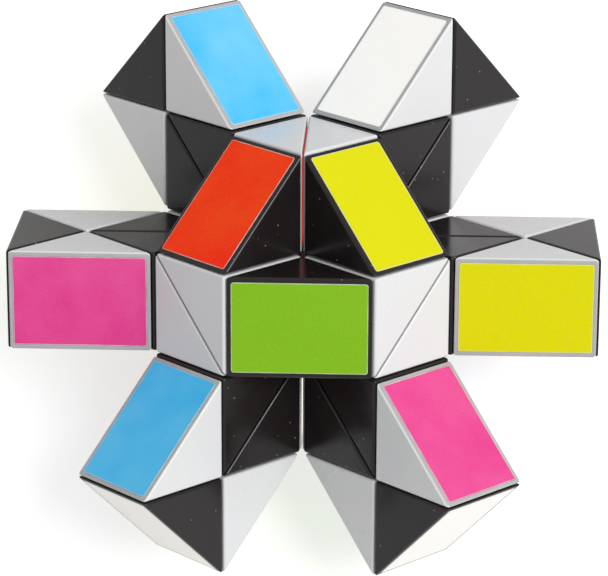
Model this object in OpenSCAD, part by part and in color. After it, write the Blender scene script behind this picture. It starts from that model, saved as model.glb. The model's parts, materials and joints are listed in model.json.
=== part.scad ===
// Twisty snake puzzle: a chain of triangular wedges, folded into a six-armed star.
// Every wedge is half a cube. Its two square faces carry the turning joints, and its
// sloping face is closed by a cover with a coloured label.

/* [Wedge] */
// Short side of a wedge, which is also its depth
leg = 19.7; // [15:0.1:30]
// Gap between two neighbouring wedges
wedge_gap = 0.3; // [0.2:0.05:0.5]
// Thickness of the shell's walls
wall = 1.6; // [1.3:0.1:2.4]

/* [Cover and label] */
// Thickness of the cover on the sloping face
cover_t = 1.2; // [0.9:0.1:1.5]
// Width of the shell's rim around the cover
rim = 1.1; // [0.9:0.05:1.2]
// Thickness of a label
label_t = 0.2; // [0.1:0.05:0.3]
// Height that a label stands proud of its face
label_proud = 0.05; // [0.02:0.01:0.08]
// Distance from the edges of the sloping face to the label
label_inset = 1; // [0.7:0.1:1.8]
// Corner radius of a label
label_r = 0.5; // [0.3:0.1:1.5]

/* [Joint] */
// Radius of the screw's shank
shank_r = 1.1; // [0.8:0.1:1.5]
// Radius of the screw's head
head_r = 2.2; // [1.8:0.1:2.6]
// Height of the screw's head
head_h = 1; // [0.7:0.1:1.3]
// Radius of the boss that the screw bites into
boss_r = 2.4; // [2:0.1:2.8]
// Thickness of plastic left at the closed end of the boss
boss_cap = 0.8; // [0.5:0.1:1.2]
// Wall of the spring under the head
spring_t = 0.4; // [0.3:0.05:0.6]
// Radial running clearance of the shank in the next wedge
running = 0.08; // [0.05:0.01:0.1]
// Radius of the ring that the neighbouring wedge turns on
ring_r = 5; // [3.5:0.5:7]

/* [End plugs] */
// Radius of the disc that closes a free end's hole
plug_r = 2; // [1.7:0.1:2.3]
// Thickness of that disc
plug_t = 0.8; // [0.5:0.1:1]
// Length of the plug's stem behind the disc
plug_stem = 2; // [1:0.1:3]

/* [Clearance] */
// Clearance between pieces that are fixed to each other
seat = 0.1; // [0.05:0.01:0.12]

/* [Hidden] */
$fn = 64;
// Side of the cube that two wedges share
pitch = leg + wedge_gap;
half = pitch / 2;
skin = wedge_gap / 2;
root2 = sqrt(2);
// Overshoot of a cut past the face that it opens
past = 1;

// In a wedge's own frame, x + y is constant on its sloping face and below the cover.
face_sum = half - skin * root2;
seat_sum = face_sum - cover_t * root2;
slope_length = root2 * (face_sum + half - 2 * skin);
recess = label_t - label_proud + seat / 2;

// The cover leaves this much room above the square faces for the boss and the head.
boss_top = seat_sum - boss_r - 2 * seat;
bore_end = boss_top - boss_cap;
head_top = seat_sum - head_r - 2 * seat;

// The figure, as quarter turns from each wedge to the next. An arm doubles back on itself,
// and the links between arms bend one way and then the other.
arm = [2, 0, 0, 2];
side = concat([1, 1, 1], arm, [3, 1], arm, [1, 3], arm, [1, 1, 1]);
other_side = [for (t = side) (4 - t) % 4];
quarter_turns = concat(other_side, [1, 3], side, [3]);
count = len(quarter_turns) + 1;

// The star is laid out on a grid of pitch, measured from its centre. The first wedge's
// entry face has its centre here, and these are the wedge's own axes.
first_entry = [-1, -0.5, 0];
first_in = [0, 1, 0];
first_up = [0, 0, 1];

// It lies on its three rear edges, with the centre of the six arms towards the front.
rear_corner = 2.5;
sideways = [-1, 1, 0] / sqrt(2);
headwards = [-1, -1, 2] / sqrt(6);
frontwards = [1, 1, 1] / sqrt(3);
lift = (rear_corner * pitch - (root2 + 1) * skin) / sqrt(3);

// One letter for each wedge's label, from the first wedge to the last.
label_letters = "YBWOGWPOBGYWOGBOPWWGOYPGBOOGBWYOGPYWPGYOBWGPWOBG";
palette = [
    ["G", [0.53, 0.77, 0.16]],
    ["O", [0.93, 0.25, 0.05]],
    ["Y", [0.9, 0.9, 0.02]],
    ["B", [0.3, 0.7, 0.93]],
    ["P", [0.91, 0.3, 0.58]],
    ["W", [0.97, 0.96, 0.93]]
];
black = [0.05, 0.045, 0.04];
white = [0.93, 0.93, 0.92];
steel = [0.7, 0.7, 0.72];

// Wedges at the front of the star, whose labels are nodes of their own
front_wedges = [6, 10, 18, 21, 23, 25, 28, 36, 40];

function two_digits(n) = n < 10 ? str("0", n) : str(n);
function wedge_name(k) = str("wedge_", two_digits(k + 1));
function label_name(k) = str("label_", two_digits(k + 1));

function move(v) = [[1, 0, 0, v.x], [0, 1, 0, v.y], [0, 0, 1, v.z], [0, 0, 0, 1]];
function about_z(a) = [[cos(a), -sin(a), 0, 0], [sin(a), cos(a), 0, 0], [0, 0, 1, 0], [0, 0, 0, 1]];
function about_x(a) = [[1, 0, 0, 0], [0, cos(a), -sin(a), 0], [0, sin(a), cos(a), 0], [0, 0, 0, 1]];

// From one wedge's frame to the next: out through its second square face, then the quarter turns
function step(k) = move([half, -half, 0]) * about_z(-90) * about_x(90 * quarter_turns[k]);
function along_chain(k) = k == 0 ? move([0, 0, 0]) : along_chain(k - 1) * step(k - 1);

// The first wedge's place on the grid, and the grid's place in the part's frame
first_side = cross(first_in, first_up);
first_place = [
    for (i = [0:2]) [first_in[i], first_up[i], first_side[i], first_entry[i] * pitch],
    [0, 0, 0, 1]
];
stand = [
    [sideways.x, sideways.y, sideways.z, 0],
    [headwards.x, headwards.y, headwards.z, 0],
    [frontwards.x, frontwards.y, frontwards.z, lift],
    [0, 0, 0, 1]
];
function place(k) = stand * first_place * along_chain(k);

function label_colour(k) = palette[search(label_letters[k], palette)[0]][1];
function shell_colour(k) = k % 2 == 0 ? white : black;

// A wedge's own frame: the entry face's centre is the origin and x points into the wedge.
// The exit face looks along -y at x = half, and the sloping face looks along x + y.
function triangle(inset, sum) = [
    [inset, inset - half], [sum + half - inset, inset - half], [inset, sum - inset]
];
function slab(inset, low, high) = [
    [inset, low - inset], [low + half - inset, inset - half],
    [high + half - inset, inset - half], [inset, high - inset]
];

module prism(points, depth) {
    linear_extrude(depth, center = true) polygon(points);
}

module at_entry() {
    rotate([0, 90, 0]) children();
}

module at_exit() {
    translate([half, -half, 0]) rotate([-90, 0, 0]) children();
}

// On the sloping face, with its middle at the origin and its length along x
module on_slope() {
    translate([face_sum + half, face_sum - half, 0] / 2) rotate([0, 0, 45]) rotate([0, 90, 0])
        rotate([0, 0, 90]) children();
}

// A plate with rounded corners whose outer face lies this far above z = 0
module label_plate(grow, proud, depth) {
    r = label_r + grow;
    x = slope_length / 2 - label_inset - label_r;
    y = leg / 2 - label_inset - label_r;
    translate([0, 0, proud - depth]) linear_extrude(depth) {
        square([2 * x, 2 * (y + r)], center = true);
        square([2 * (x + r), 2 * y], center = true);
        for (i = [-1, 1], j = [-1, 1]) translate([i * x, j * y]) circle(r);
    }
}

module label_recess() {
    on_slope() label_plate(seat / 2, past, recess + past);
}

module plug_seat() {
    translate([0, 0, -past]) cylinder(h = skin + plug_t + seat + past, r = plug_r + seat);
}

// The hollow wedge, open on its sloping face
module shell(k) {
    is_first = k == 0;
    is_last = k == count - 1;
    color(shell_colour(k)) {
        difference() {
            union() {
                prism(triangle(skin, face_sum), leg);
                if (!is_first) at_entry() translate([0, 0, seat - skin])
                    cylinder(h = wedge_gap - seat + past, r = ring_r);
            }
            difference() {
                prism(triangle(skin + wall, half + past), leg - 2 * wall);
                at_exit() cylinder(h = boss_top, r = boss_r);
            }
            prism(slab(skin + rim, seat_sum, half + past), leg - 2 * rim);
            label_recess();
            at_entry() translate([0, 0, -past])
                cylinder(h = skin + wall + 2 * past, r = shank_r + running);
            at_exit() translate([0, 0, -past]) cylinder(h = bore_end + past, r = shank_r + seat);
            if (is_first) at_entry() plug_seat();
            if (is_last) at_exit() plug_seat();
        }
    }
}

module cover(k) {
    color(shell_colour(k)) difference() {
        prism(slab(skin + rim + seat, seat_sum + seat * root2, face_sum), leg - 2 * (rim + seat));
        label_recess();
    }
}

module label(k) {
    color(label_colour(k)) on_slope() label_plate(0, label_proud, label_t);
}

// Fixed in this wedge's boss, and reaching through the next wedge's wall
module screw() {
    tip = bore_end - seat;
    color(steel) at_exit() {
        translate([0, 0, -head_top]) cylinder(h = head_top + tip, r = shank_r);
        translate([0, 0, -head_top]) cylinder(h = head_h, r = head_r);
    }
}

// Presses this wedge against the one before, between its wall and the head of that one's screw
module spring() {
    inner = shank_r + 2 * running;
    low = skin + wall + seat;
    color(steel) at_entry() translate([0, 0, low]) difference() {
        cylinder(h = head_top - head_h - seat - low, r = inner + spring_t);
        translate([0, 0, -past]) cylinder(h = head_top, r = inner);
    }
}

module end_plug(k) {
    color(shell_colour(k)) {
        translate([0, 0, skin]) cylinder(h = plug_t, r = plug_r);
        translate([0, 0, skin + plug_t / 2]) cylinder(h = plug_t / 2 + plug_stem, r = shank_r);
    }
}

module wedge(k) {
    shell(k);
    cover(k);
    if (len(search(k, front_wedges)) == 0) label(k);
    if (k > 0) spring();
    if (k < count - 1) screw();
}

module in_place(k) {
    multmatrix(place(k)) children();
}

for (k = [0:count - 1]) in_place(k) wedge(k);
for (k = front_wedges) in_place(k) label(k);
in_place(0) at_entry() end_plug(0);  // end_plug_first
in_place(count - 1) at_exit() end_plug(count - 1);  // end_plug_last
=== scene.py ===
import json
import math
import bpy
from mathutils import Matrix, Vector


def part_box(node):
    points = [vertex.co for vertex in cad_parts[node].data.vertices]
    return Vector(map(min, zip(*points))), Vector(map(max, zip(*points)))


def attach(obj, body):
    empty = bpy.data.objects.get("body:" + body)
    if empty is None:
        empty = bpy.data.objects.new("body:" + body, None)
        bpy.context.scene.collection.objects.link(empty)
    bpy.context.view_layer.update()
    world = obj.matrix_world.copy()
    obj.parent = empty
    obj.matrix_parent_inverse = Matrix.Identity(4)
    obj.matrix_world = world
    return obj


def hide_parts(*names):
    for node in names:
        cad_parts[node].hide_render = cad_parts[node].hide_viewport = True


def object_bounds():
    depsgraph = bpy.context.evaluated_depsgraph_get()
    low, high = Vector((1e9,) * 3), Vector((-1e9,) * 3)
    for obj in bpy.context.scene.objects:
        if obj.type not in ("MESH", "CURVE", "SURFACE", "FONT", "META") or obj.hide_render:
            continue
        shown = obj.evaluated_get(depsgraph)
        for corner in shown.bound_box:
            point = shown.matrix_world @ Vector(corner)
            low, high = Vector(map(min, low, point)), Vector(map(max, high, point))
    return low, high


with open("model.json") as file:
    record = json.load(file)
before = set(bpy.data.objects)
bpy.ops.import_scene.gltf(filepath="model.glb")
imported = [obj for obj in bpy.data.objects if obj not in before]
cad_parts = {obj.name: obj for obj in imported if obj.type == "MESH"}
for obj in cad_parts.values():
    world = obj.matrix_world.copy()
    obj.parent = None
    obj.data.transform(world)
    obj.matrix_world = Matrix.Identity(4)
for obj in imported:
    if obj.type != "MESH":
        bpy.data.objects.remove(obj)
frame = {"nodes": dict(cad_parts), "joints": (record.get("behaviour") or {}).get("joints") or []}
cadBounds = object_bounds()
mm = 0.001
nearly = 0.001 * mm  # how far off a picked point may be
facing = 0.9  # how squarely a picked face looks along its direction
smoothAngle = 50


def makeActive(piece):
    bpy.ops.object.select_all(action="DESELECT")
    piece.select_set(True)
    bpy.context.view_layer.objects.active = piece


def startEdit(piece, kind="FACE"):
    makeActive(piece)
    bpy.ops.object.mode_set(mode="EDIT")
    bpy.ops.mesh.select_mode(type=kind)
    bpy.ops.mesh.select_all(action="SELECT")


def endEdit():
    bpy.ops.object.mode_set(mode="OBJECT")


def pickFaces(piece, test):  # selects the faces whose middle and normal pass the test
    bpy.ops.mesh.select_mode(type="FACE")
    bpy.ops.mesh.select_all(action="DESELECT")
    bpy.ops.object.mode_set(mode="OBJECT")
    for face in piece.data.polygons:
        face.select = bool(test(face.center, face.normal))
    bpy.ops.object.mode_set(mode="EDIT")


def pickEdges(piece, test):  # selects the edges whose two ends pass the test
    bpy.ops.mesh.select_mode(type="EDGE")
    bpy.ops.mesh.select_all(action="DESELECT")
    bpy.ops.object.mode_set(mode="OBJECT")
    points = piece.data.vertices
    for edge in piece.data.edges:
        edge.select = bool(test(points[edge.vertices[0]].co, points[edge.vertices[1]].co))
    bpy.ops.object.mode_set(mode="EDIT")


def useModifier(piece, kind, **values):
    makeActive(piece)
    modifier = piece.modifiers.new(kind.title(), kind)
    for key, value in values.items():
        setattr(modifier, key, value)
    bpy.ops.object.modifier_apply(modifier=modifier.name)


def cutAway(piece, cutter):
    useModifier(piece, "BOOLEAN", operation="DIFFERENCE", solver="EXACT", object=cutter)
    bpy.data.objects.remove(cutter)


def bakePlace(piece):  # the place goes into the mesh, and the object stays at the origin
    makeActive(piece)
    bpy.ops.object.transform_apply(location=True, rotation=True, scale=True)


def smoothByAngle(piece, degrees):
    makeActive(piece)
    bpy.ops.object.shade_smooth_by_angle(angle=math.radians(degrees))


def finishShading(piece):  # round edges shade smoothly into flat faces
    smoothByAngle(piece, smoothAngle)
    useModifier(piece, "WEIGHTED_NORMAL", keep_sharp=True)


# Each wedge's place is read from the hinges on its two square faces.
hinges = sorted(frame["joints"], key=lambda hinge: hinge["name"])
wedgeCount = len(hinges) + 1
hingePoints = [Vector(hinge["pos_m"]) for hinge in hinges]
hingeAxes = [Vector(hinge["axis"]) for hinge in hinges]
# Two wedges fill a cube, and this is half of its side.
half = (hingePoints[1] - hingePoints[0]).length * math.sqrt(0.5)


def wedgeName(k):
    return "wedge_%02d" % (k + 1)


def axesPlace(origin, inward, outward):  # x runs in through the entry face, -y out through the exit face
    x = inward.normalized()
    y = -outward.normalized()
    columns = (x, y, x.cross(y), origin)
    return Matrix([[column[i] for column in columns] for i in range(3)] + [[0, 0, 0, 1]])


def towards(axis, direction):
    return axis if axis.dot(direction) > 0 else -axis


def middlePlace(k):
    across = hingePoints[k] - hingePoints[k - 1]
    inward = towards(hingeAxes[k - 1], across)
    outward = towards(hingeAxes[k], across)
    return axesPlace(hingePoints[k - 1], inward, outward)


def quarterTurn(count):
    return Matrix.Rotation(math.radians(90 * count), 4, "X")


stepOut = Matrix.Translation((half, -half, 0)) @ Matrix.Rotation(math.radians(-90), 4, "Z")
wedgeCorners = [(0, -half, -half), (0, half, -half), (2 * half, -half, -half),
                (0, -half, half), (0, half, half), (2 * half, -half, half)]


def boxMiss(place, node):  # how far the wedge's outline is from the node's box
    low, high = (Vector(corner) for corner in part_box(node))
    points = [place @ Vector(corner) for corner in wedgeCorners]
    miss = 0
    for i in range(3):
        miss += abs(min(p[i] for p in points) - low[i]) + abs(max(p[i] for p in points) - high[i])
    return miss


# Each end wedge has one hinge, so its turn about that hinge is the one that fills its node's box.
places = [None] + [middlePlace(k) for k in range(1, wedgeCount - 1)] + [None]
firstTries = [places[1] @ (stepOut @ quarterTurn(n)).inverted() for n in range(4)]
lastTries = [places[-2] @ stepOut @ quarterTurn(n) for n in range(4)]
places[0] = min(firstTries, key=lambda place: boxMiss(place, wedgeName(0)))
places[-1] = min(lastTries, key=lambda place: boxMiss(place, wedgeName(wedgeCount - 1)))

wedge = {"leg": 19.7 * mm, "edgeRound": 0.5 * mm, "edgeSteps": 3, "wall": 1.6 * mm, "rim": 1.1 * mm}
cover = {"thickness": 1.2 * mm, "clearance": 0.1 * mm, "edgeRound": 0.12 * mm, "edgeSteps": 2}
label = {"inset": 1 * mm, "thickness": 0.2 * mm, "proud": 0.05 * mm, "corner": 0.5 * mm, "cornerSteps": 6,
         "clearance": 0.05 * mm, "edgeRound": 0.03 * mm, "edgeSteps": 2, "rimWidth": 0.13 * mm}
skin = half - wedge["leg"] / 2  # from the cube's faces to the wedge's own
root2 = math.sqrt(2)
slopeNormal = Vector((1, 1, 0)).normalized()
faceSum = half - skin * root2  # x + y on the sloping face
coverSum = faceSum - cover["thickness"] * root2  # x + y under the cover
slopeMiddle = Vector(((faceSum + half) / 2, (faceSum - half) / 2, 0))
slopeLength = root2 * (faceSum + half - 2 * skin)
past = 1 * mm  # a cutter's overshoot
rimLevel = slopeMiddle.dot(slopeNormal) - wedge["edgeRound"]  # the shell's rim beside a label lies above this


def rightTurn(axis):
    return Matrix.Rotation(math.radians(90), 4, axis)


def slopeTurn():  # lays what is made flat on the ground plane onto the sloping face
    lean = Matrix.Rotation(math.radians(45), 4, "Z")
    return Matrix.Translation(slopeMiddle) @ lean @ rightTurn("Y") @ rightTurn("Z")


def cutAtSlope(total, **kept):  # cuts what is selected where x + y is this total
    bpy.ops.mesh.bisect(plane_co=(total / 2, total / 2, 0), plane_no=slopeNormal, use_fill=True, **kept)


def addPrism(name, inset, sumHigh, depth, sumLow=None):  # a box cut off along the slope
    side = 4 * half
    bpy.ops.mesh.primitive_cube_add(size=side, location=(inset + side / 2, inset - half + side / 2, 0))
    piece = bpy.context.object
    piece.name = name
    startEdit(piece)
    bpy.ops.transform.resize(value=(1, 1, depth / side), center_override=(0, 0, 0))
    cutAtSlope(sumHigh, clear_outer=True)
    if sumLow is not None:
        bpy.ops.mesh.select_all(action="SELECT")
        cutAtSlope(sumLow, clear_inner=True)
    endEdit()
    bakePlace(piece)
    return piece


def addRod(name, radius, low, high, atExit, steps=40):  # along a joint's axis, measured inwards
    middle = (0, 0, (low + high) / 2)
    bpy.ops.mesh.primitive_cylinder_add(vertices=steps, radius=radius, depth=high - low, location=middle)
    rod = bpy.context.object
    rod.name = name
    bakePlace(rod)
    turn = rightTurn("Y")
    if atExit:
        turn = Matrix.Translation((half, -half, 0)) @ rightTurn("X").inverted()
    rod.data.transform(turn)
    return rod


def addLabelPlate(name, inset, corner, low, high):  # a plate with round corners on the sloping face
    bpy.ops.mesh.primitive_cube_add(size=1, location=(0, 0, (low + high) / 2))
    plate = bpy.context.object
    plate.name = name
    plate.scale = (slopeLength - 2 * inset, wedge["leg"] - 2 * inset, high - low)
    bakePlace(plate)
    startEdit(plate, "EDGE")
    pickEdges(plate, lambda a, b: abs(a.z - b.z) > (high - low) / 2)
    bpy.ops.mesh.bevel(offset=corner, segments=label["cornerSteps"], profile=0.5, affect="EDGES")
    endEdit()
    return plate


joint = {"shank": 1.1 * mm, "running": 0.08 * mm, "boss": 2.4 * mm, "bossCap": 0.8 * mm, "head": 2.2 * mm,
         "headHeight": 1.0 * mm, "seat": 0.1 * mm, "ring": 5 * mm, "ringGap": 0.1 * mm, "ringSteps": 64}
bossTop = coverSum - joint["boss"] - 2 * joint["seat"]
boreEnd = bossTop - joint["bossCap"]
headTop = coverSum - joint["head"] - 2 * joint["seat"]
plug = {"disc": 2.0 * mm, "discHeight": 0.8 * mm, "stem": 1.1 * mm, "stemLength": 2 * mm,
        "edgeRound": 0.15 * mm, "edgeSteps": 3, "steps": 48}


def cutRecess(piece):  # the hollow that the label lies in
    grow = label["clearance"]
    depth = label["thickness"] - label["proud"] + grow
    recess = addLabelPlate("recess", label["inset"] - grow, label["corner"] + grow, -depth, past)
    recess.data.transform(slopeTurn())
    cutAway(piece, recess)


def cutPlugSeat(shell, atExit):  # a free end has a plug in place of a joint
    depth = skin + plug["discHeight"] + joint["seat"]
    cutAway(shell, addRod("plugSeat", plug["disc"] + joint["seat"], -past, depth, atExit))


def makeShell(name, openEntry=True, openExit=True):
    shell = addPrism(name, skin, faceSum, wedge["leg"])
    startEdit(shell, "EDGE")
    bpy.ops.mesh.bevel(offset=wedge["edgeRound"], segments=wedge["edgeSteps"], profile=0.5, affect="EDGES")
    endEdit()
    if openEntry:  # the neighbour turns on this ring
        inside = skin + wedge["wall"] / 2
        ring = addRod("ring", joint["ring"], joint["ringGap"] - skin, inside, False, joint["ringSteps"])
        useModifier(shell, "BOOLEAN", operation="UNION", solver="EXACT", object=ring)
        bpy.data.objects.remove(ring)
    hollow = addPrism("hollow", skin + wedge["wall"], half + past, wedge["leg"] - 2 * wedge["wall"])
    cutAway(hollow, addRod("boss", joint["boss"], 0, bossTop, True))
    cutAway(shell, hollow)
    opening = addPrism("opening", skin + wedge["rim"], half + past, wedge["leg"] - 2 * wedge["rim"], coverSum)
    cutAway(shell, opening)
    cutRecess(shell)
    through = skin + wedge["wall"] + past
    cutAway(shell, addRod("hole", joint["shank"] + joint["running"], -past, through, False))
    cutAway(shell, addRod("bore", joint["shank"] + joint["seat"], -past, boreEnd, True))
    if not openEntry:
        cutPlugSeat(shell, False)
    if not openExit:
        cutPlugSeat(shell, True)
    finishShading(shell)
    for face in shell.data.polygons:  # the rim beside the label gets painted shade: a greyer copy of the white plastic
        onRim = face.normal.dot(slopeNormal) > facing and face.center.dot(slopeNormal) > rimLevel
        face.material_index = 1 if onRim else 0
    return shell


def makeCover():
    inset = skin + wedge["rim"] + cover["clearance"]
    depth = wedge["leg"] - 2 * (wedge["rim"] + cover["clearance"])
    plate = addPrism("cover", inset, faceSum, depth, coverSum + cover["clearance"] * root2)
    startEdit(plate, "EDGE")
    bpy.ops.mesh.bevel(offset=cover["edgeRound"], segments=cover["edgeSteps"], profile=0.5, affect="EDGES")
    endEdit()
    cutRecess(plate)
    finishShading(plate)
    return plate


def makeLabel():  # its cut edge shows the pale vinyl under the print, and a narrow rim round its top is paler too
    low = label["proud"] - label["thickness"]
    sticker = addLabelPlate("label", label["inset"], label["corner"], low, label["proud"])
    top = label["proud"] - nearly
    startEdit(sticker, "EDGE")
    pickEdges(sticker, lambda a, b: a.z > top and b.z > top)
    bpy.ops.mesh.bevel(offset=label["edgeRound"], segments=label["edgeSteps"], profile=0.5, affect="EDGES")
    pickFaces(sticker, lambda centre, normal: centre.z > top and normal.z > 0.99)
    bpy.ops.mesh.inset(thickness=label["rimWidth"], use_even_offset=True)
    endEdit()
    for face in sticker.data.polygons:
        face.material_index = 0 if face.select else 1
    sticker.data.transform(slopeTurn())
    smoothByAngle(sticker, smoothAngle)
    return sticker


def makePlug(atExit):
    disc = addRod("plug", plug["disc"], skin, skin + plug["discHeight"], atExit, plug["steps"])
    axis = Vector((0, 1, 0)) if atExit else Vector((1, 0, 0))
    startEdit(disc, "FACE")
    pickFaces(disc, lambda centre, normal: normal.dot(axis) > facing)
    bpy.ops.mesh.inset(thickness=plug["disc"] - plug["stem"], use_even_offset=True)
    bpy.ops.mesh.extrude_region_move(TRANSFORM_OT_translate={"value": tuple(axis * plug["stemLength"])})
    pickFaces(disc, lambda centre, normal: normal.dot(axis) < -facing)
    bpy.ops.mesh.bevel(offset=plug["edgeRound"], segments=plug["edgeSteps"], profile=0.5, affect="EDGES")
    endEdit()
    finishShading(disc)
    return disc


screw = {"edgeRound": 0.3 * mm, "edgeSteps": 4, "tipTaper": 0.8,
         "slotLength": 2.4 * mm, "slotWidth": 0.5 * mm, "slotDepth": 0.55 * mm}
spring = {"wire": 0.2 * mm, "wireSteps": 8, "middle": 1.46 * mm, "turns": 4, "turnSteps": 14, "end": 0.1 * mm}


def makeScrew():
    top = -headTop
    head = addRod("screw", joint["head"], top, top + joint["headHeight"], True)
    startEdit(head)
    pickFaces(head, lambda centre, normal: normal.y > facing)
    bpy.ops.mesh.inset(thickness=joint["head"] - joint["shank"], use_even_offset=True)
    tip = boreEnd - joint["seat"]
    shankLength = tip - top - joint["headHeight"]
    bpy.ops.mesh.extrude_region_move(TRANSFORM_OT_translate={"value": (0, shankLength, 0)})
    taper = screw["tipTaper"]
    bpy.ops.transform.resize(value=(taper, 1, taper), center_override=(half, -half + tip, 0))
    pickFaces(head, lambda centre, normal: normal.y < -facing)
    bpy.ops.mesh.bevel(offset=screw["edgeRound"], segments=screw["edgeSteps"], profile=0.5, affect="EDGES")
    endEdit()
    size = (screw["slotLength"], 2 * screw["slotDepth"], screw["slotWidth"])
    for turn in (0, 90):  # the cross recess
        bpy.ops.mesh.primitive_cube_add(size=1, location=(half, top - half, 0))
        blade = bpy.context.object
        blade.scale = size
        blade.rotation_euler.y = math.radians(turn)
        bakePlace(blade)
        cutAway(head, blade)
    finishShading(head)
    return head


def makeSpring():
    low = skin + wedge["wall"] + spring["end"] + spring["wire"]
    high = headTop - joint["headHeight"] - spring["end"] - spring["wire"]
    bpy.ops.mesh.primitive_circle_add(vertices=spring["wireSteps"], radius=spring["wire"],
                                      rotation=(math.radians(90), 0, 0), location=(spring["middle"], 0, 0))
    coil = bpy.context.object
    coil.name = "spring"
    bakePlace(coil)
    rise = (high - low) / spring["turns"]
    useModifier(coil, "SCREW", steps=spring["turnSteps"], render_steps=spring["turnSteps"],
                iterations=spring["turns"], screw_offset=rise, use_smooth_shade=True)
    startEdit(coil, "EDGE")
    bpy.ops.mesh.select_all(action="DESELECT")
    bpy.ops.mesh.select_non_manifold()
    bpy.ops.mesh.edge_face_add()
    bpy.ops.mesh.select_all(action="SELECT")
    bpy.ops.mesh.normals_make_consistent(inside=False)
    endEdit()
    coil.data.transform(rightTurn("Y") @ Matrix.Translation((0, 0, low)))
    return coil


shellMaster = makeShell("shell")
firstShell = makeShell("firstShell", openEntry=False)
lastShell = makeShell("lastShell", openExit=False)
coverMaster = makeCover()
labelMaster = makeLabel()
screwMaster = makeScrew()
springMaster = makeSpring()
plugMasters = [makePlug(False), makePlug(True)]
masters = [shellMaster, firstShell, lastShell, coverMaster, labelMaster, screwMaster, springMaster]
masters += plugMasters
faceCounts = ["%s %d faces" % (master.name, len(master.data.polygons)) for master in masters]
print("pieces modelled:", ", ".join(faceCounts))


# Effects that several finishes share
def newGroup(name, inputs, outputs):
    group = bpy.data.node_groups.new(name, "ShaderNodeTree")
    for socketName, kind, value in inputs:
        socket = group.interface.new_socket(name=socketName, in_out="INPUT", socket_type="NodeSocket" + kind)
        if value is not None:
            socket.default_value = value
    for socketName, kind in outputs:
        group.interface.new_socket(name=socketName, in_out="OUTPUT", socket_type="NodeSocket" + kind)
    return group, group.nodes.new("NodeGroupInput"), group.nodes.new("NodeGroupOutput")


def addNode(tree, kind, **values):
    node = tree.nodes.new("ShaderNode" + kind)
    for key, value in values.items():
        setattr(node, key, value)
    return node


def feed(tree, source, target):  # a number is set on the socket, a socket is linked to it
    if isinstance(source, bpy.types.NodeSocket):
        tree.links.new(source, target)
    else:
        target.default_value = source


def addMath(tree, operation, first, second=0.0):
    node = addNode(tree, "Math", operation=operation)
    feed(tree, first, node.inputs[0])
    feed(tree, second, node.inputs[1])
    return node.outputs[0]


def addNoise(tree, vector, scale, detail=2.0, distortion=0.0):
    node = addNode(tree, "TexNoise")
    feed(tree, vector, node.inputs["Vector"])
    feed(tree, scale, node.inputs["Scale"])
    node.inputs["Detail"].default_value = detail
    node.inputs["Distortion"].default_value = distortion
    return node.outputs["Fac"]


def addRange(tree, value, low, high, newLow=0.0, newHigh=1.0):
    node = addNode(tree, "MapRange")
    for source, socket in zip((value, low, high, newLow, newHigh), list(node.inputs)[:5]):
        feed(tree, source, socket)
    return node.outputs["Result"]


def multiply(tree, first, second):
    return addMath(tree, "MULTIPLY", first, second)


uneven = {"detail": 3.0, "distortion": 0.6, "fineScale": 9.0, "fineShare": 0.25, "low": 0.35, "high": 0.65}


def makeUnevenGroup():  # a soft patchy change, as on a moulded face that has been handled
    inputs = [("Place", "Vector", None), ("Scale", "Float", 60.0),
              ("Low", "Float", 0.2), ("High", "Float", 0.3)]
    group, given, result = newGroup("unevenSheen", inputs, [("Value", "Float")])
    place, scale = given.outputs["Place"], given.outputs["Scale"]
    patches = addNoise(group, place, scale, uneven["detail"], uneven["distortion"])
    fine = addNoise(group, place, multiply(group, scale, uneven["fineScale"]))
    coarseShare = multiply(group, patches, 1 - uneven["fineShare"])
    mixed = addMath(group, "ADD", coarseShare, multiply(group, fine, uneven["fineShare"]))
    value = addRange(group, mixed, uneven["low"], uneven["high"], given.outputs["Low"], given.outputs["High"])
    feed(group, value, result.inputs["Value"])
    return group


hairline = {"alongY": {"turn": (0.3, 0.5, 0.7), "stretch": (1, 0.015, 1)},
            "alongX": {"turn": (1.1, -0.4, 0.2), "stretch": (0.015, 1, 1)},
            "detail": 1.0, "distortion": 0.2, "low": 0.69, "high": 0.76,
            "patchScale": 0.03, "patchHigh": 0.75, "patchWidth": 0.4}


def makeScratchGroup():  # hairline marks in two directions, thinned out by a patchy mask
    inputs = [("Place", "Vector", None), ("Scale", "Float", 400.0), ("Cover", "Float", 0.5)]
    group, given, result = newGroup("hairlines", inputs, [("Mask", "Float")])
    place, scale = given.outputs["Place"], given.outputs["Scale"]
    masks = []
    for direction in (hairline["alongY"], hairline["alongX"]):
        mapping = addNode(group, "Mapping")
        feed(group, place, mapping.inputs["Vector"])
        mapping.inputs["Rotation"].default_value = direction["turn"]
        mapping.inputs["Scale"].default_value = direction["stretch"]
        lines = addNoise(group, mapping.outputs["Vector"], scale, hairline["detail"], hairline["distortion"])
        masks.append(addRange(group, lines, hairline["low"], hairline["high"]))
    patches = addNoise(group, place, multiply(group, scale, hairline["patchScale"]), hairline["detail"])
    width = multiply(group, given.outputs["Cover"], hairline["patchWidth"])
    patchLow = addMath(group, "SUBTRACT", hairline["patchHigh"], width)
    patchMask = addRange(group, patches, patchLow, hairline["patchHigh"])
    both = multiply(group, addMath(group, "MAXIMUM", masks[0], masks[1]), patchMask)
    feed(group, both, result.inputs["Mask"])
    return group


# Which cells have a speck, and the part of its radius that is solid
speck = {"low": 0.86, "high": 0.9, "core": 0.5}


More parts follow.
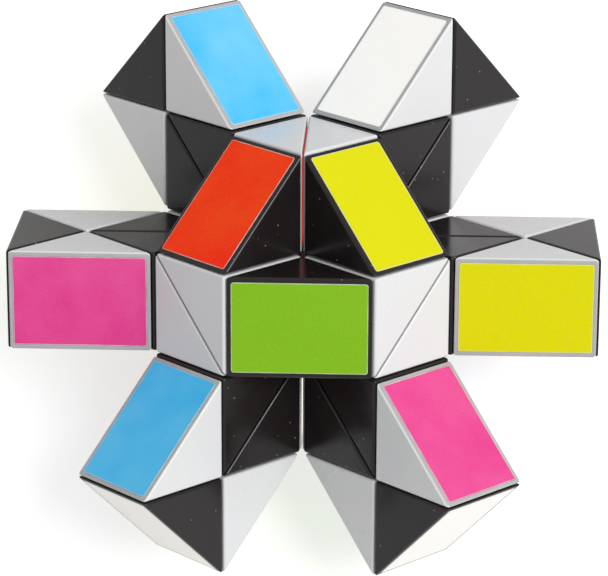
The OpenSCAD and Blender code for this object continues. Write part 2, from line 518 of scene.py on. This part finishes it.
def makeSpeckGroup():  # tiny round specks, as of dust
    inputs = [("Place", "Vector", None), ("Scale", "Float", 700.0), ("Size", "Float", 0.12)]
    group, given, result = newGroup("dustSpecks", inputs, [("Mask", "Float")])
    cells = addNode(group, "TexVoronoi")
    feed(group, given.outputs["Place"], cells.inputs["Vector"])
    feed(group, given.outputs["Scale"], cells.inputs["Scale"])
    split = addNode(group, "SeparateColor")
    feed(group, cells.outputs["Color"], split.inputs[0])
    chosen = addRange(group, split.outputs[0], speck["low"], speck["high"])
    size = given.outputs["Size"]
    dots = addRange(group, cells.outputs["Distance"], size, multiply(group, size, speck["core"]))
    feed(group, multiply(group, dots, chosen), result.inputs["Mask"])
    return group


unevenGroup = makeUnevenGroup()
scratchGroup = makeScratchGroup()
speckGroup = makeSpeckGroup()


def useGroup(tree, group, place, **values):
    node = addNode(tree, "Group", node_tree=group)
    feed(tree, place, node.inputs["Place"])
    for key, value in values.items():
        feed(tree, value, node.inputs[key])
    return node.outputs[0]


def mixColour(tree, factor, first, second):
    node = addNode(tree, "Mix", data_type="RGBA")
    colourInputs = [socket for socket in node.inputs if socket.type == "RGBA"]
    feed(tree, factor, node.inputs[0])
    for source, socket in ((first, colourInputs[0]), (second, colourInputs[1])):
        feed(tree, source if isinstance(source, bpy.types.NodeSocket) else (*source, 1), socket)
    return [socket for socket in node.outputs if socket.type == "RGBA"][0]


def newFinish(name):
    material = bpy.data.materials.new(name)
    material.use_nodes = True
    tree = material.node_tree
    place = addNode(tree, "TexCoord").outputs["Object"]
    return material, tree, tree.nodes["Principled BSDF"], place


def addBump(tree, shader, height, strength, distance):
    bump = addNode(tree, "Bump")
    bump.inputs["Strength"].default_value = strength
    bump.inputs["Distance"].default_value = distance
    feed(tree, height, bump.inputs["Height"])
    feed(tree, bump.outputs["Normal"], shader.inputs["Normal"])


plastics = {
    "blackGlossPlastic": {"colour": (0.012, 0.0085, 0.0088), "worn": (0.022, 0.018, 0.018),
                          "gloss": (0.16, 0.26), "hairlines": 0.5, "specks": 0.16, "dustShare": 0.5},
    "whiteGlossPlastic": {"colour": (0.8, 0.805, 0.82), "worn": (0.78, 0.78, 0.78),
                          "gloss": (0.2, 0.32), "hairlines": 0.3, "specks": 0.1, "dustShare": 0.25},
    # painted shade: a greyer copy of the white plastic, for the rim beside each label
    "whiteLabelRimPaintedShade": {"colour": (0.44, 0.45, 0.445), "worn": (0.56, 0.56, 0.55),
                      "gloss": (0.2, 0.32), "hairlines": 0.3, "specks": 0.1, "dustShare": 0.25}}
moulded = {"patchScale": 45.0, "hairlineScale": 5000.0, "speckScale": 900.0, "swellScale": 120.0,
           "wornShare": 0.6, "markShare": 0.5, "dust": (0.55, 0.54, 0.52), "markRoughness": 0.12,
           "markDepth": 0.5, "bump": 0.35, "bumpHeight": 0.03 * mm, "ior": 1.5}


def makePlastic(name):  # glossy moulded ABS
    look = plastics[name]
    material, tree, shader, place = newFinish(name)
    patches = useGroup(tree, unevenGroup, place, Scale=moulded["patchScale"], Low=0.0, High=1.0)
    marks = useGroup(tree, scratchGroup, place, Scale=moulded["hairlineScale"], Cover=look["hairlines"])
    motes = useGroup(tree, speckGroup, place, Scale=moulded["speckScale"], Size=look["specks"])
    base = mixColour(tree, multiply(tree, patches, moulded["wornShare"]), look["colour"], look["worn"])
    base = mixColour(tree, multiply(tree, marks, moulded["markShare"]), base, look["worn"])
    base = mixColour(tree, multiply(tree, motes, look["dustShare"]), base, moulded["dust"])
    feed(tree, base, shader.inputs["Base Color"])
    sheen = addRange(tree, patches, 0.0, 1.0, *look["gloss"])
    rougher = multiply(tree, marks, moulded["markRoughness"])
    feed(tree, addMath(tree, "ADD", sheen, rougher), shader.inputs["Roughness"])
    swell = addNoise(tree, place, moulded["swellScale"])
    height = addMath(tree, "SUBTRACT", swell, multiply(tree, marks, moulded["markDepth"]))
    addBump(tree, shader, height, moulded["bump"], moulded["bumpHeight"])
    shader.inputs["IOR"].default_value = moulded["ior"]
    return material


# Each label's ink: its word, its colour, the lighter colour that it has in patches (painted reflection of the
# soft light in the clear film), and its glow (painted light: the label glows though it is no lamp)
inks = {"G": ("green", (0.205, 0.452, 0.01), (0.215, 0.465, 0.013), 0.15),
        "O": ("orange", (0.92, 0.015, 0.0), (0.92, 0.075, 0.002), 0.15),
        "Y": ("yellow", (0.655, 0.635, 0.0), (0.67, 0.65, 0.0), 0.15),
        "B": ("blue", (0.045, 0.46, 0.83), (0.15, 0.56, 0.86), 0.15),
        "P": ("pink", (0.7, 0.04, 0.24), (0.76, 0.1, 0.31), 0.15),
        "W": ("white", (0.94, 0.92, 0.88), (0.95, 0.93, 0.89), 0.26)}
vinyl = {"gloss": (0.3, 0.4), "specular": 0.1, "patchScale": 18.0, "film": (0.9, 0.9, 0.88),
         "printScale": 4200.0, "printLow": 0.55, "printHigh": 0.75, "printShare": 0.03, "printDepth": 0.02,
         "markScale": 700.0, "markCover": 0.25, "markShare": 0.18, "markRoughness": 0.15,
         "rippleScale": 260.0, "bump": 0.15, "bumpHeight": 0.02 * mm}


def makeVinyl(name, colour, reflectionTint, glow):  # printed vinyl under a clear film, with a painted reflection and a painted glow
    material, tree, shader, place = newFinish(name)
    patches = useGroup(tree, unevenGroup, place, Scale=vinyl["patchScale"], Low=0.0, High=1.0)
    marks = useGroup(tree, scratchGroup, place, Scale=vinyl["markScale"], Cover=vinyl["markCover"])
    dots = addNoise(tree, place, vinyl["printScale"], 0.0)
    # painted reflection: lighter patches stand in for the soft light's reflection in the clear film
    base = mixColour(tree, patches, colour, reflectionTint)
    bare = addRange(tree, dots, vinyl["printLow"], vinyl["printHigh"], 0.0, vinyl["printShare"])
    base = mixColour(tree, bare, base, vinyl["film"])
    base = mixColour(tree, multiply(tree, marks, vinyl["markShare"]), base, vinyl["film"])
    feed(tree, base, shader.inputs["Base Color"])
    feed(tree, base, shader.inputs["Emission Color"])  # painted light: the label gives back a little light of its own, though it is no lamp
    shader.inputs["Emission Strength"].default_value = glow
    sheen = addRange(tree, patches, 0.0, 1.0, *vinyl["gloss"])
    rougher = multiply(tree, marks, vinyl["markRoughness"])
    feed(tree, addMath(tree, "ADD", sheen, rougher), shader.inputs["Roughness"])
    ripple = addNoise(tree, place, vinyl["rippleScale"])
    height = addMath(tree, "ADD", ripple, multiply(tree, dots, vinyl["printDepth"]))
    addBump(tree, shader, height, vinyl["bump"], vinyl["bumpHeight"])
    shader.inputs["Specular IOR Level"].default_value = vinyl["specular"]
    return material


vinylEdge = {"colour": (0.8, 0.8, 0.78), "breakScale": 260.0, "breaks": (0.25, 0.75), "gloss": (0.3, 0.45)}


def makeVinylEdge(name, colour):  # the print's last hair of width and its cut edge, paler in patches
    material, tree, shader, place = newFinish(name)
    low, high = vinylEdge["breaks"]
    breaks = useGroup(tree, unevenGroup, place, Scale=vinylEdge["breakScale"], Low=low, High=high)
    feed(tree, mixColour(tree, breaks, colour, vinylEdge["colour"]), shader.inputs["Base Color"])
    feed(tree, addRange(tree, breaks, 0.0, 1.0, *vinylEdge["gloss"]), shader.inputs["Roughness"])
    return material


steel = {"colour": (0.56, 0.57, 0.59), "dull": (0.42, 0.42, 0.43), "gloss": (0.22, 0.36), "patchScale": 400.0,
         "markScale": 2500.0, "markCover": 0.7, "markRoughness": 0.2, "bump": 0.3, "bumpHeight": 0.01 * mm}


def makeSteel():  # zinc plated
    material, tree, shader, place = newFinish("platedSteel")
    patches = useGroup(tree, unevenGroup, place, Scale=steel["patchScale"], Low=0.0, High=1.0)
    marks = useGroup(tree, scratchGroup, place, Scale=steel["markScale"], Cover=steel["markCover"])
    feed(tree, mixColour(tree, patches, steel["colour"], steel["dull"]), shader.inputs["Base Color"])
    sheen = addRange(tree, patches, 0.0, 1.0, *steel["gloss"])
    rougher = multiply(tree, marks, steel["markRoughness"])
    feed(tree, addMath(tree, "ADD", sheen, rougher), shader.inputs["Roughness"])
    shader.inputs["Metallic"].default_value = 1.0
    addBump(tree, shader, marks, steel["bump"], steel["bumpHeight"])
    return material


blackPlastic = makePlastic("blackGlossPlastic")
whitePlastic = makePlastic("whiteGlossPlastic")
# painted shade for the rim beside each label
whiteRimPaintedShade = makePlastic("whiteLabelRimPaintedShade")
vinyls = {}
for letter, (word, colour, reflectionTint, glow) in inks.items():
    printed = makeVinyl(word + "Vinyl", colour, reflectionTint, glow)
    vinyls[letter] = (printed, makeVinylEdge(word + "VinylEdge", reflectionTint))
platedSteel = makeSteel()
print("finishes made:", len(bpy.data.materials), "materials from", len(bpy.data.node_groups), "shared groups")

labelLetters = "YBWOGWPOBGYWOGBOPWWGOYPGBOOGBWYOGPYWPGYOBWGPWOBG"  # from the first wedge to the last


def addCopy(master, name, k, materials):
    piece = bpy.data.objects.new(name, master.data.copy())
    bpy.context.scene.collection.objects.link(piece)
    piece.data.transform(places[k])
    for material in materials:
        piece.data.materials.append(material)
    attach(piece, wedgeName(k))
    return piece


def shellLook(k):  # white and black in turn: the plastic, the plastic beside the label (on white shells a greyer copy, painted shade), and the slot
    if k % 2 == 0:
        return whitePlastic, whiteRimPaintedShade, "white_shell"
    return blackPlastic, blackPlastic, "black_shell"


for k, letter in enumerate(labelLetters):
    number = "%02d" % (k + 1)
    shellPlastic, rimPlastic, shellSlot = shellLook(k)
    master = firstShell if k == 0 else lastShell if k == wedgeCount - 1 else shellMaster
    shell = addCopy(master, "shell_" + number, k, [shellPlastic, rimPlastic])
    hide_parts(wedgeName(k))
    addCopy(coverMaster, "cover_" + number, k, [shellPlastic])
    sticker = addCopy(labelMaster, "vinyl_" + number, k, vinyls[letter])
    if "label_" + number in frame["nodes"]:
        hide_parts("label_" + number)
    if k > 0:
        addCopy(springMaster, "spring_" + number, k, [platedSteel])
    if k < wedgeCount - 1:
        addCopy(screwMaster, "screw_" + number, k, [platedSteel])
for master, k, node in zip(plugMasters, (0, wedgeCount - 1), ("end_plug_first", "end_plug_last")):
    shellPlastic, rimPlastic, shellSlot = shellLook(k)
    endPlug = addCopy(master, node + "_piece", k, [shellPlastic])
    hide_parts(node)
for master in masters:
    bpy.data.objects.remove(master)
print("chain put together:", wedgeCount, "wedges on", len(hinges), "hinges")

floor = {"size": 4.0, "colour": (0.72, 0.72, 0.72), "darker": 0.985, "grainScale": 300.0, "grainDetail": 3.0,
         "grainLow": 0.3, "grainHigh": 0.7, "roughness": 0.9, "glowColour": (1, 1, 1), "glow": 0.6}


def makeFloor():
    bpy.ops.mesh.primitive_plane_add(size=floor["size"], location=(0, 0, cadBounds[0].z))
    ground = bpy.context.object
    ground.name = "floor"
    material, tree, shader, place = newFinish("paleFloor")
    grain = addNoise(tree, place, floor["grainScale"], floor["grainDetail"])
    grain = addRange(tree, grain, floor["grainLow"], floor["grainHigh"])
    darker = tuple(floor["darker"] * value for value in floor["colour"])
    feed(tree, mixColour(tree, grain, floor["colour"], darker), shader.inputs["Base Color"])
    shader.inputs["Roughness"].default_value = floor["roughness"]
    shader.inputs["Emission Color"].default_value = (*floor["glowColour"], 1)
    # The glow makes it look white, and it lights nothing.
    seen = addNode(tree, "LightPath").outputs["Is Camera Ray"]
    feed(tree, multiply(tree, seen, floor["glow"]), shader.inputs["Emission Strength"])
    ground.data.materials.append(material)


keyLamp = {"direction": (0.56, -0.08, 0.82), "distance": 1.2, "size": 0.8, "power": 9.3}
room = {"colour": (1.0, 1.0, 1.0), "strength": 0.5, "seenStrength": 1.0}
centre = (cadBounds[0] + cadBounds[1]) / 2


def addKeyLamp():
    direction = Vector(keyLamp["direction"]).normalized()
    bpy.ops.object.light_add(type="AREA", location=centre + direction * keyLamp["distance"])
    lamp = bpy.context.object
    lamp.name = "key"
    lamp.data.shape = "DISK"
    lamp.data.size = keyLamp["size"]
    lamp.data.energy = keyLamp["power"]
    lamp.rotation_euler = (-direction).to_track_quat("-Z", "Y").to_euler()


def addRoom():  # the walls look whiter than the light they give
    world = bpy.data.worlds.new("studio")
    world.use_nodes = True
    tree = world.node_tree
    background = tree.nodes["Background"]
    background.inputs["Color"].default_value = (*room["colour"], 1)
    seen = addNode(tree, "LightPath").outputs["Is Camera Ray"]
    strength = addRange(tree, seen, 0.0, 1.0, room["strength"], room["seenStrength"])
    feed(tree, strength, background.inputs["Strength"])
    bpy.context.scene.world = world


# The aim is in millimetres, the angles are in degrees, and the distance is in metres.
camera = {"azimuth": -6.806, "elevation": 72.743, "roll": -5.614, "distance": 0.6222,
          "aim": (-0.2, -1.1, 28.3), "lens": 189.7, "nearest": 0.01}


def addCamera():
    turn, rise = math.radians(camera["azimuth"]), math.radians(camera["elevation"])
    forward = Vector((math.sin(turn) * math.cos(rise), math.cos(turn) * math.cos(rise), -math.sin(rise)))
    level = forward.to_track_quat("-Z", "Y").to_matrix().to_4x4()
    place = Matrix.Translation(Vector(camera["aim"]) * mm - forward * camera["distance"])
    bpy.ops.object.camera_add()
    eye = bpy.context.object
    eye.name = "camera"
    eye.matrix_world = place @ level @ Matrix.Rotation(math.radians(camera["roll"]), 4, "Z")
    eye.data.lens = camera["lens"]
    eye.data.clip_start = camera["nearest"]
    bpy.context.scene.camera = eye


makeFloor()
addKeyLamp()
addRoom()
bpy.context.scene.view_settings.view_transform = "Standard"
addCamera()
print("floor, lamp, room and camera placed")
